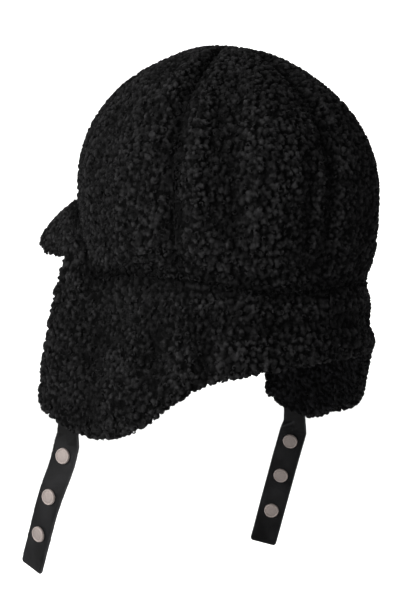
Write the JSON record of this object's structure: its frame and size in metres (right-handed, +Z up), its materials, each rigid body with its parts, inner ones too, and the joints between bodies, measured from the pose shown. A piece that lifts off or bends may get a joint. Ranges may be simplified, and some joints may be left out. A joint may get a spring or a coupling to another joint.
{
  "type": "ushanka",
  "caption": "Black curly fleece trapper hat with a panelled dome crown, sloping peak, ear flaps and nape, and a leather snap strap hanging from each flap.",
  "frame": {"origin": "inner top of the crown, where the hat sits on the head", "axes": "+Z up, -Y to the wearer's front, +X to the wearer's left"},
  "size_m": [0.211, 0.2626, 0.3524],
  "materials": {
    "fleece": "black curly sherpa fleece",
    "fleece_lining": "black curly sherpa fleece, inner face",
    "leather": "smooth black leather with a slight sheen",
    "nickel": "brushed nickel snap caps"
  },
  "bodies": {
    "root": {"crown_front_left": "fleece", "crown_side_left": "fleece", "crown_back_left": "fleece", "crown_back_right": "fleece", "crown_side_right": "fleece", "crown_front_right": "fleece", "peak": "fleece", "skirt_shell_left": "fleece", "skirt_lining_left": "fleece_lining", "strap_left": "leather", "snap_left_1": "nickel", "snap_left_2": "nickel", "snap_left_3": "nickel", "skirt_shell_right": "fleece", "skirt_lining_right": "fleece_lining", "strap_right": "leather", "snap_right_1": "nickel", "snap_right_2": "nickel", "snap_right_3": "nickel"}
  },
  "joints": []
}
